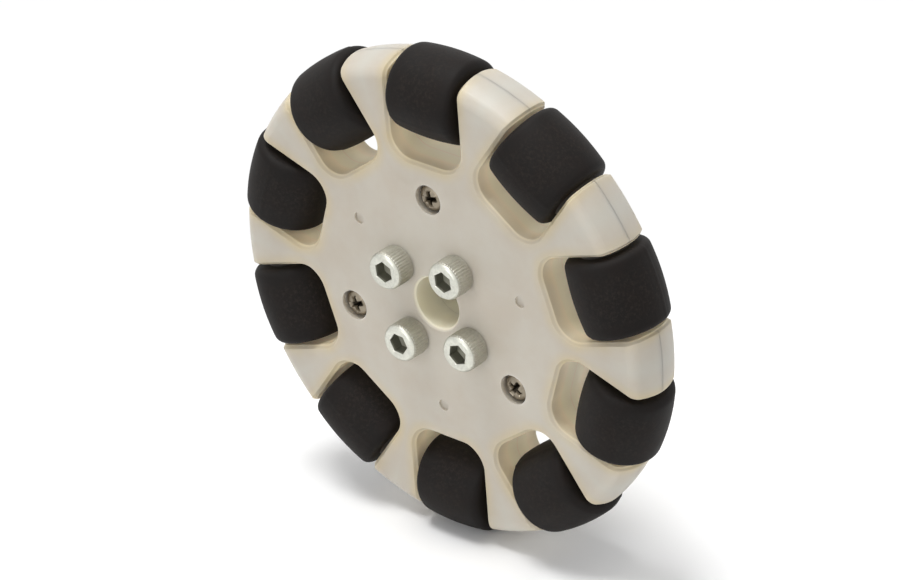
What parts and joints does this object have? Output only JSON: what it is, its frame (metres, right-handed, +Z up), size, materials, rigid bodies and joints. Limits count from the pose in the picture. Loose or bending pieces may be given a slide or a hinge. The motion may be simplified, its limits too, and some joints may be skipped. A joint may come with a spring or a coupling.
{
  "type": "omni wheel",
  "caption": "Round nylon wheel with a ring of free barrel-shaped rubber rollers set across its rim, on a small round axle hub.",
  "frame": {"origin": "centre of the wheel: on its axis, in the middle plane of the roller ring", "axes": "+Y along the wheel's spin axis, from the outer face towards the hub and the axle; +Z up; one roller points straight down along -Z"},
  "size_m": [0.0748, 0.019, 0.0762],
  "materials": {
    "body_nylon": "natural moulded nylon, slightly translucent, satin",
    "roller_rubber": "matte black rubber",
    "roller_core_plastic": "dark moulded plastic",
    "pin_steel": "ground steel",
    "hub_aluminium": "turned aluminium",
    "set_screw_steel": "black oxide steel",
    "hub_screw_zinc": "zinc plated steel",
    "clamp_screw_zinc": "zinc plated steel"
  },
  "bodies": {
    "wheel": {"front_half": "body_nylon", "rear_half": "body_nylon", "hub": "hub_aluminium", "hub_set_screw": "set_screw_steel", "hub_screw_1": "hub_screw_zinc", "hub_screw_2": "hub_screw_zinc", "hub_screw_3": "hub_screw_zinc", "hub_screw_4": "hub_screw_zinc", "clamp_screw_front_1": "clamp_screw_zinc", "clamp_screw_front_2": "clamp_screw_zinc", "clamp_screw_front_3": "clamp_screw_zinc", "clamp_screw_rear_1": "clamp_screw_zinc", "clamp_screw_rear_2": "clamp_screw_zinc", "clamp_screw_rear_3": "clamp_screw_zinc", "roller_pin_01": "pin_steel", "roller_pin_02": "pin_steel", "roller_pin_03": "pin_steel", "roller_pin_04": "pin_steel", "roller_pin_05": "pin_steel", "roller_pin_06": "pin_steel", "roller_pin_07": "pin_steel", "roller_pin_08": "pin_steel", "roller_pin_09": "pin_steel", "roller_pin_10": "pin_steel"},
    "roller_01": {"roller_tyre_01": "roller_rubber", "roller_core_01": "roller_core_plastic"},
    "roller_02": {"roller_tyre_02": "roller_rubber", "roller_core_02": "roller_core_plastic"},
    "roller_03": {"roller_tyre_03": "roller_rubber", "roller_core_03": "roller_core_plastic"},
    "roller_04": {"roller_tyre_04": "roller_rubber", "roller_core_04": "roller_core_plastic"},
    "roller_05": {"roller_tyre_05": "roller_rubber", "roller_core_05": "roller_core_plastic"},
    "roller_06": {"roller_tyre_06": "roller_rubber", "roller_core_06": "roller_core_plastic"},
    "roller_07": {"roller_tyre_07": "roller_rubber", "roller_core_07": "roller_core_plastic"},
    "roller_08": {"roller_tyre_08": "roller_rubber", "roller_core_08": "roller_core_plastic"},
    "roller_09": {"roller_tyre_09": "roller_rubber", "roller_core_09": "roller_core_plastic"},
    "roller_10": {"roller_tyre_10": "roller_rubber", "roller_core_10": "roller_core_plastic"}
  },
  "joints": [
    {"name": "roller_01_spin", "type": "hinge", "parent": "wheel", "child": "roller_01", "pos_m": [0, 0, -0.03155], "axis": [1, 0, 0], "continuous": true},
    {"name": "roller_02_spin", "type": "hinge", "parent": "wheel", "child": "roller_02", "pos_m": [0.01854, 0, -0.02552], "axis": [0.809, 0, 0.5878], "continuous": true},
    {"name": "roller_03_spin", "type": "hinge", "parent": "wheel", "child": "roller_03", "pos_m": [0.03001, 0, -0.00975], "axis": [0.309, 0, 0.9511], "continuous": true},
    {"name": "roller_04_spin", "type": "hinge", "parent": "wheel", "child": "roller_04", "pos_m": [0.03001, 0, 0.00975], "axis": [-0.309, 0, 0.9511], "continuous": true},
    {"name": "roller_05_spin", "type": "hinge", "parent": "wheel", "child": "roller_05", "pos_m": [0.01854, 0, 0.02552], "axis": [-0.809, 0, 0.5878], "continuous": true},
    {"name": "roller_06_spin", "type": "hinge", "parent": "wheel", "child": "roller_06", "pos_m": [0, 0, 0.03155], "axis": [-1, 0, 0], "continuous": true},
    {"name": "roller_07_spin", "type": "hinge", "parent": "wheel", "child": "roller_07", "pos_m": [-0.01854, 0, 0.02552], "axis": [-0.809, 0, -0.5878], "continuous": true},
    {"name": "roller_08_spin", "type": "hinge", "parent": "wheel", "child": "roller_08", "pos_m": [-0.03001, 0, 0.00975], "axis": [-0.309, 0, -0.9511], "continuous": true},
    {"name": "roller_09_spin", "type": "hinge", "parent": "wheel", "child": "roller_09", "pos_m": [-0.03001, 0, -0.00975], "axis": [0.309, 0, -0.9511], "continuous": true},
    {"name": "roller_10_spin", "type": "hinge", "parent": "wheel", "child": "roller_10", "pos_m": [-0.01854, 0, -0.02552], "axis": [0.809, 0, -0.5878], "continuous": true}
  ]
}
